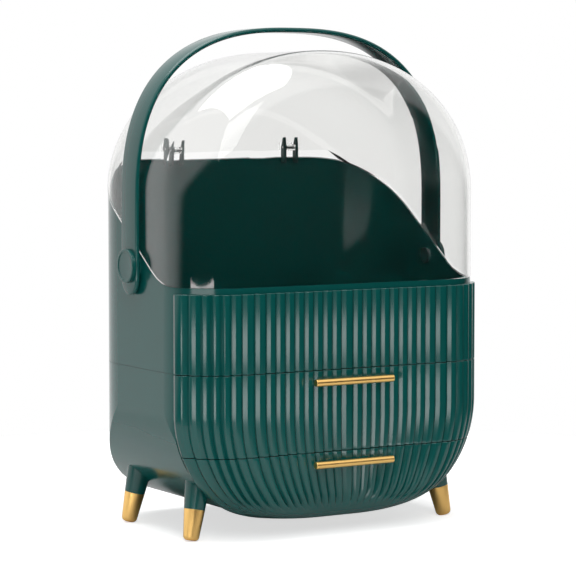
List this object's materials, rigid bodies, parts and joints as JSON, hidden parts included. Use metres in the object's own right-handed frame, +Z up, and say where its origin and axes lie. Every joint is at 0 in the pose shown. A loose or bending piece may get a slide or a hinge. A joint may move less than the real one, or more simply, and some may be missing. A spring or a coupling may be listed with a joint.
{
  "type": "makeup organizer",
  "caption": "Dustproof makeup organizer with a clear hinged dome lid, swinging handle, fluted drawers with bar pulls and splayed legs with metal feet.",
  "frame": {"origin": "on the surface it stands on, at the middle of the bounding box", "axes": "+Z up, -Y towards the drawers' fronts, +X to the right seen from the front"},
  "size_m": [0.3096, 0.21, 0.418],
  "materials": {
    "shell": "satin moulded plastic, deep teal green",
    "tray": "matte moulded plastic, deep green",
    "gold": "polished, gold coloured",
    "steel": "plain",
    "clear": "clear and polished"
  },
  "bodies": {
    "case": {"lower_case": "shell", "upper_case": "shell", "upper_fascia": "shell", "drawer_shelf": "tray", "lower_runners": "tray", "hinge_ears": "tray", "hinge_pins": "steel", "handle_pins": "steel", "leg_front_left": "shell", "leg_front_right": "shell", "leg_rear_left": "shell", "leg_rear_right": "shell", "ferrule_front_left": "gold", "ferrule_front_right": "gold", "ferrule_rear_left": "gold", "ferrule_rear_right": "gold", "case_screws": "steel"},
    "upper_drawer": {"upper_tray": "tray", "upper_drawer_front": "shell", "upper_bar": "gold", "upper_posts": "gold", "upper_bar_screws": "steel"},
    "lower_drawer": {"lower_tray": "tray", "lower_drawer_front": "shell", "lower_bar": "gold", "lower_posts": "gold", "lower_bar_screws": "steel"},
    "handle": {"handle_band": "shell", "cap_left": "shell", "cap_right": "shell"},
    "lid": {"lid_dome": "clear", "lid_knuckles": "clear"}
  },
  "joints": [
    {"name": "upper_drawer_slide", "type": "slide", "parent": "case", "child": "upper_drawer", "axis": [0, -1, 0], "range_m": [0, 0.12]},
    {"name": "lower_drawer_slide", "type": "slide", "parent": "case", "child": "lower_drawer", "axis": [0, -1, 0], "range_m": [0, 0.12]},
    {"name": "handle_swing", "type": "hinge", "parent": "case", "child": "handle", "pos_m": [0, 0.0055, 0.2217], "axis": [-1, 0, 0], "range_deg": [0, 136.4]},
    {"name": "lid_open", "type": "hinge", "parent": "case", "child": "lid", "pos_m": [0, 0.0988, 0.3155], "axis": [-1, 0, 0], "range_deg": [0, 31]}
  ],
  "couplings": [
    {"joint": "lid_open", "follows": "handle_swing", "ratio": 0.22727}
  ]
}
